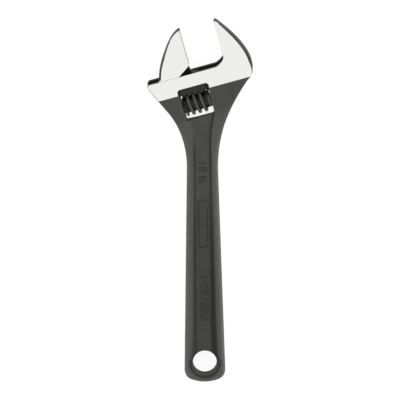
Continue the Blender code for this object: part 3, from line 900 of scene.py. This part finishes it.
def rack_gaps():
    """Prisms that leave the rack's teeth, slanted to the worm's helix."""
    slant = PITCH / (2 * math.pi * (WORM_RADIUS + WORM_ROOT) / 2)
    low, root = RACK_V - RACK_RADIUS - 1.0, WORM_V + WORM_RADIUS + 0.35
    outline = [(-1.62, low), (1.62, low), (0.98, root - 0.4), (0.8, root - 0.1), (0.5, root)]
    outline += [(-0.5, root), (-0.8, root - 0.1), (-0.98, root - 0.4)]
    first = WORM_U - WORM_LENGTH / 2 + FIRST_CREST + PITCH / 2
    for k in GAPS_TRIED:
        centre = first + k * PITCH
        if RACK_LEFT - 1.0 < centre < RACK_RIGHT + 1.0:
            rings = [[(centre + slant * z + x, y, z) for x, y in outline] for z in (-8.0, 8.0)]
            yield loft(f"gap_{k}", rings, DARK)


def neck_outline():
    """The web between the wedge and the rack, which runs in the keyhole's slot."""
    neck = [(RACK_LEFT + 1.5, RACK_V), (52.4, RACK_V), (52.2, 197.8), (51.2, 199.1), (48.2, 199.3)]
    neck += [tuple(p) for p in bezier(neck[-1], (46.8, 199.6), (46.1, 200.6), (45.9, 202.4), 10)]
    return neck + [(45.5, 207.5), (27.5, 205.0), (25.0, SLIDE_V)]


def rack_profile():
    """The round bar of the rack, with a rounded left end and a coned right end."""
    cone = RACK_RIGHT - CONE_LENGTH
    left = [(0.0, 0.9), (0.12, 0.55), (0.45, 0.16), (0.9, 0.0)]
    bar = [(RACK_LEFT + x, RACK_RADIUS - r) for x, r in left]
    bar += [(cone - 0.3, RACK_RADIUS), (cone + 0.2, RACK_RADIUS - 0.25)]
    return bar + [(RACK_RIGHT - 0.2, RACK_RADIUS - CONE_DROP), (RACK_RIGHT, RACK_RADIUS - CONE_DROP - 0.3)]


def jaw_height(points):
    return forged_half(points[:, 1])


# Painted shade over all of the moving jaw's black, as on the head
def jaw_painted_shade(points):
    return np.full(len(points), HEAD_SHADE)


def jaw_wall_paint(points):
    """Ground on the jaw's face, dark under the wedge, and black elsewhere."""
    u, v = points.T
    face = (np.abs(u - MOVING_FACE_U) < 0.2) & (v > 206.9)
    under = ((v < 207) & (u > 37)) | (v < SLIDE_V + 0.5)
    return np.where(face, 1, np.where(under, 2, 0))


def jaw_detail():
    """The moving jaw: a wedge like the head's tips, on its neck and toothed rack."""
    outline = jaw_outline()
    u, v = outline.T
    ground_side = (u > MOVING_FACE_U - 0.9) | (v < SLIDE_V + 1) | ((u > 37) & (v < 206))
    width = np.where(ground_side, SHARP, table(JAW_EDGE, v))
    width = np.where((u > MOVING_FACE_U - 0.1) & (v > 206.5), FACE_EDGE, width)

    def paint(points, flat):
        far, where = nearest(points, outline)
        # The rounding beside the face stays black: a painted dark line of shade
        at_face = (points[:, 0] > MOVING_FACE_U - 0.4) & (points[:, 1] > 206)
        return (flat | ((far < 0.4) & (along(width, where) < CLEAN_EDGE) & ~at_face)).astype(int)

    edges = [Edge(outline, *split_width(width, ground_side), -1, 0.0)]
    jaw = slab("jaw_detail", edges, [], 1.6, jaw_height, paint, jaw_wall_paint,
               (BLACK, GROUND, DARK), jaw_painted_shade)
    combine(jaw, prism("neck", neck_outline(), -NECK_HALF, NECK_HALF, DARK), "UNION")
    rack = turned("rack", rack_profile(), RACK_V, 72, BLACK)
    # Painted shade on the rack, down in the window
    set_values(rack.data, "painted_shade", np.full(len(rack.data.vertices), RACK_SHADE))
    combine(jaw, rack, "UNION")
    for gap in rack_gaps():
        combine(jaw, gap, "DIFFERENCE")
    return placed(jaw, HEAD, "jaw", ["moving_jaw"])


# The worm

WORM_COLUMNS = 112
PITCHES_BEFORE, PITCHES_MADE = 6, 11  # thread is made past both ends, then clamped
# scuffing with a painted highlight on the coned ends
CONE_SCUFF_HIGHLIGHT = 0.6


def thread_profile():
    """One pitch of the thread from the middle of a crest, as (distance along the axis, radius, scuffing with
    a painted highlight).
    """
    half = [(0.0, 7.75, 0.35), (0.3, 7.75, 0.4), (0.52, 7.74, 0.8), (0.64, 7.68, 1.0), (0.73, 7.55, 0.8),
            (0.82, 7.3, 0.35), (0.95, 6.8, 0.1), (1.08, 6.25, 0.0), (1.2, 5.78, 0.0), (1.3, 5.52, 0.0),
            (1.45, 5.39, 0.0), (1.7, 5.35, 0.0)]
    other = [(PITCH - s, r, w) for s, r, w in reversed(half[1:])]
    return half + [(PITCH / 2, 5.35, 0.0)] + other


def thread_radius(x, turn, first):
    """The thread's radius at x, on the line at that turn."""
    profile = thread_profile()
    s = (x - first - PITCH * turn) % PITCH
    return float(np.interp(s, [p[0] for p in profile] + [PITCH], [p[1] for p in profile] + [WORM_RADIUS]))


def thread_columns(bm, profile):
    """Columns of points along the worm that follow the thread, clamped and coned at the ends."""
    scuff_and_highlight = bm.verts.layers.float.new("scuff_and_highlight")
    half = WORM_LENGTH / 2
    first = FIRST_CREST + PITCH / 2 - half - PITCHES_BEFORE * PITCH
    hub, over = WORM_ROOT - 0.15, WORM_RADIUS + 0.2
    barrel_x = (-half, -half + 0.3, -half + 1.1, half - 3.05, half - 1.75, half)
    barrel_radius = (hub, hub, over, over, hub, hub)
    columns = []
    for i in range(WORM_COLUMNS):
        turn = i / WORM_COLUMNS
        angle = 2 * math.pi * turn
        column = []
        last_x = None
        for k in range(PITCHES_MADE * len(profile)):
            s, r, scuff_highlight_share = profile[k % len(profile)]
            x = first + (k // len(profile)) * PITCH + s + PITCH * turn
            clamped = min(max(x, -half), half)
            if clamped == last_x:
                column.append(column[-1])
                continue
            if clamped != x:
                r = thread_radius(clamped, turn, first)
            cone = float(np.interp(clamped, barrel_x, barrel_radius))
            vertex = bm.verts.new((clamped, min(r, cone) * math.cos(angle), min(r, cone) * math.sin(angle)))
            vertex[scuff_and_highlight] = scuff_highlight_share if r < cone else CONE_SCUFF_HIGHLIGHT
            last_x = clamped
            column.append(vertex)
        columns.append(column)
    return columns


def thread_faces(bm, columns, per_pitch):
    """Joins the columns. The last one meets the first with a shift of one pitch, as the helix does."""
    for i, a in enumerate(columns):
        b = columns[(i + 1) % len(columns)]
        shift = per_pitch if i == len(columns) - 1 else 0
        for k in range(len(a) - 1 - shift):
            corners = [a[k + shift], a[k + 1 + shift], b[k + 1], b[k]]
            face = [c for n, c in enumerate(corners) if c not in corners[:n]]
            if len(face) > 2:
                bm.faces.new(face)


def worm_bore(bm, columns):
    """The bore for the pin and the spring's pocket, with chamfered mouths."""
    half = WORM_LENGTH / 2
    pocket_end, bore = POCKET_DEPTH - half, PIN_RADIUS + GAP
    steps = [(-half, POCKET_RADIUS + 0.3), (-half + 0.3, POCKET_RADIUS), (pocket_end, POCKET_RADIUS),
             (pocket_end, bore), (half - 0.3, bore), (half, bore + 0.3)]
    turns = [2 * math.pi * i / WORM_COLUMNS for i in range(WORM_COLUMNS)]
    rings = [[bm.verts.new((x, r * math.cos(a), r * math.sin(a))) for a in turns] for x, r in steps]
    left, right = [column[0] for column in columns], [column[-1] for column in columns]
    for low, high in zip([left, *rings], [*rings, right]):
        for i in range(WORM_COLUMNS):
            j = (i + 1) % WORM_COLUMNS
            bm.faces.new((low[i], low[j], high[j], high[i]))


def knurl_detail():
    """The worm that the thumb turns."""
    profile = thread_profile()
    bm = bmesh.new()
    columns = thread_columns(bm, profile)
    thread_faces(bm, columns, len(profile))
    worm_bore(bm, columns)
    bmesh.ops.recalc_face_normals(bm, faces=bm.faces)
    mesh = mesh_from(bm, "knurl_detail")
    mesh.materials.append(WORM_BLACK)
    worm = added("knurl_detail", mesh)
    return placed(worm, WORM_PLACE, "knurl", ["worm"], 50)


# The spring

SPRING_TURNS, SPRING_STEPS, SPRING_SIDES = 6.5, 40, 14
CLOSED_SHARE = 0.085  # of the spring's length, in the closed turn at each end


def spring_detail():
    """A coil spring with closed ends, round the pin in the worm's pocket."""
    start = WINDOW_LEFT + GAP + SPRING_WIRE - WORM_U
    end = POCKET_DEPTH - WORM_LENGTH / 2 - GAP - SPRING_WIRE
    marks = (0, 1, SPRING_TURNS - 1, SPRING_TURNS)
    b = np.linspace(0, 2 * math.pi, SPRING_SIDES, endpoint=False)
    r = SPRING_RADIUS + SPRING_WIRE * np.cos(b)
    sections = []
    for i in range(int(SPRING_TURNS * SPRING_STEPS) + 1):
        a = 2 * math.pi * i / SPRING_STEPS
        share = np.interp(i / SPRING_STEPS, marks, (0, CLOSED_SHARE, 1 - CLOSED_SHARE, 1))
        x = start + (end - start) * share + SPRING_WIRE * np.sin(b)
        sections.append(list(zip(x, r * math.cos(a), r * math.sin(a))))
    spring = loft("spring_detail", sections, WIRE)
    return placed(spring, WORM_PLACE, "frame", ["worm_spring"], 60)


# Marks on the web, raised in the forging, with painted shade on them and painted shadow down their flanks

# painted shade over the raised marks' tops
MARK_SHADE = 0.25
LETTER_HALF, LETTER_BEVEL, LETTER_SPACING = 0.3, 0.2, 1.15  # the first is half a letter's thickness
MARK_SUNK = 0.05  # how far a letter's middle lies below the web, so that no gap shows


def shaded_flanks(mesh):
    """Black on top under a painted shade, and the dark material down the flanks as a painted shadow."""
    set_values(mesh, "painted_shade", np.full(len(mesh.vertices), MARK_SHADE))
    mesh.materials.clear()
    mesh.materials.append(BLACK)
    mesh.materials.append(DARK)
    for polygon in mesh.polygons:
        polygon.material_index = int(abs(polygon.normal.z) < 0.9)


def raised_text(name, words, size, middle):
    """Raised letters that read down the handle, with their middle at that y."""
    curve = bpy.data.curves.new(name, "FONT")
    curve.body = words
    curve.size = size
    curve.align_x, curve.align_y = "CENTER", "CENTER"
    curve.extrude = LETTER_HALF
    curve.bevel_depth = LETTER_BEVEL
    curve.bevel_resolution = 2
    curve.space_character = LETTER_SPACING
    text = added(name + "_curve", curve)
    bpy.context.view_layer.update()
    graph = bpy.context.evaluated_depsgraph_get()
    mesh = bpy.data.meshes.new_from_object(text.evaluated_get(graph))
    bpy.data.objects.remove(text)
    # Painted shade on the letters and painted shadow down their flanks
    shaded_flanks(mesh)
    turn = Matrix.Rotation(math.radians(-90), 4, "Z")
    place = HANDLE @ Matrix.Translation(Vector((0, middle, WEB_HALF - MARK_SUNK)) * MM) @ turn
    return placed(added(name, mesh), place, "frame")


def plain_plaque():
    """A plain raised bar with a flared head, low on the web."""
    half = [(0.0, 81.7), (2.3, 81.7), (2.8, 82.2), (2.8, 109.2), (3.05, 110.2), (3.5, 111.2), (3.5, 112.6)]
    half += [(2.9, 113.7), (1.6, 114.2), (0.0, 114.3)]
    outline = np.array(half + [(-x, y) for x, y in reversed(half[1:-1])])
    push = mitres(outline)
    rings = []
    for across, z in ((0.4, -0.4), (0.4, -0.05), (0.05, 0.2), (-0.25, 0.3), (-0.5, 0.32)):
        ring = outline + push * across
        rings.append([(x, y, WEB_HALF + z) for x, y in ring])
    plaque = loft("plaque", rings, BLACK)
    # Painted shade on the plaque and painted shadow down its flanks
    shaded_flanks(plaque.data)
    return placed(plaque, HANDLE, "frame", angle=50)


# Camera, light and floor

HOLE_ACROSS, HOLE_BELOW = 0.003331, 0.110563  # where the hole's centre lies from the view's middle
LEAN, ROLL = math.radians(14.5), math.radians(0.71)
LENS, SENSOR, VIEW_WIDTH = 800.0, 36.0, 0.27341  # the width, in metres, that the view takes in


def view_from_above():
    """The photograph's view: from above, leaning towards the jaws."""
    back = Vector((0, math.sin(LEAN), math.cos(LEAN)))
    level = Vector((0, math.cos(LEAN), -math.sin(LEAN)))
    right = Vector((math.cos(ROLL), 0, 0)) - math.sin(ROLL) * level
    up = back.cross(right)
    hole = HANDLE.translation
    distance = VIEW_WIDTH * LENS / SENSOR - hole.y * math.sin(LEAN)
    target = hole - right * HOLE_ACROSS + up * HOLE_BELOW
    camera = bpy.data.cameras.new("camera")
    camera.lens, camera.sensor_width = LENS, SENSOR
    camera.clip_start, camera.clip_end = 0.1, 50
    obj = added("camera", camera)
    place = Matrix((right, up, back)).transposed().to_4x4()
    place.translation = target + back * distance
    obj.matrix_world = place
    bpy.context.scene.camera = obj


def area_light(name, place, size, power):
    """A square lamp turned to the middle. The ground faces don't mirror it, only the even sky."""
    light = bpy.data.lights.new(name, "AREA")
    light.size = size
    light.energy = power
    obj = added(name, light)
    obj.location = place
    obj.rotation_euler = (-Vector(place)).to_track_quat("-Z", "Y").to_euler()
    obj.visible_glossy = False


SKY = ((0.0, (0.50, 0.50, 0.505, 1)), (0.85, (1.0, 1.0, 1.0, 1)))  # from the horizon upwards


def studio():
    """An even pale sky, a soft key from the right and a weaker fill."""
    world = bpy.data.worlds.new("studio")
    world.use_nodes = True
    nodes, links = world.node_tree.nodes, world.node_tree.links
    place = nodes.new("ShaderNodeTexCoord")
    split = nodes.new("ShaderNodeSeparateXYZ")
    ramp = nodes.new("ShaderNodeValToRGB")
    for mark, (position, colour) in zip(ramp.color_ramp.elements, SKY):
        mark.position = position
        mark.color = colour
    links.new(place.outputs["Generated"], split.inputs["Vector"])
    links.new(split.outputs["Z"], ramp.inputs["Fac"])
    links.new(ramp.outputs["Color"], nodes["Background"].inputs["Color"])
    bpy.context.scene.world = world
    area_light("key", (0.9, 0.75, 1.1), 1.0, 9)
    area_light("fill", (-1.0, 0.1, 1.2), 1.2, 3)


FLOOR_GLOW, FLOOR_BELOW = 0.86, 0.0002


def floor():
    """A plain pale floor just under the wrench."""
    bm = bmesh.new()
    bmesh.ops.create_circle(bm, cap_ends=True, segments=96, radius=12)
    mesh = mesh_from(bm, "floor")
    f = Finish("floor", 0.9)
    f.set("Base Color", f.ramp(f.noise(3, 2), [(0.3, (0.20, 0.20, 0.20)), (0.7, (0.21, 0.21, 0.21))]))
    f.shader.inputs["Emission Color"].default_value = (1, 1, 1, 1)
    f.shader.inputs["Emission Strength"].default_value = FLOOR_GLOW
    mesh.materials.append(f.material)
    obj = added("floor", mesh)
    obj.location = (0, 0, CAD_BOX[0].z - FLOOR_BELOW)


forged_body()
jaw_detail()
knurl_detail()
spring_detail()
raised_text("size_mark", "10 in", 6.8, 134.5)
raised_text("kind_mark", "FORGED", 7.4, 45.5)
plain_plaque()

pin = frame["nodes"]["worm_pin"]
pin.data.materials.clear()
pin.data.materials.append(WORM_BLACK)

view_from_above()
studio()
floor()
bpy.context.scene.view_settings.view_transform = "Standard"
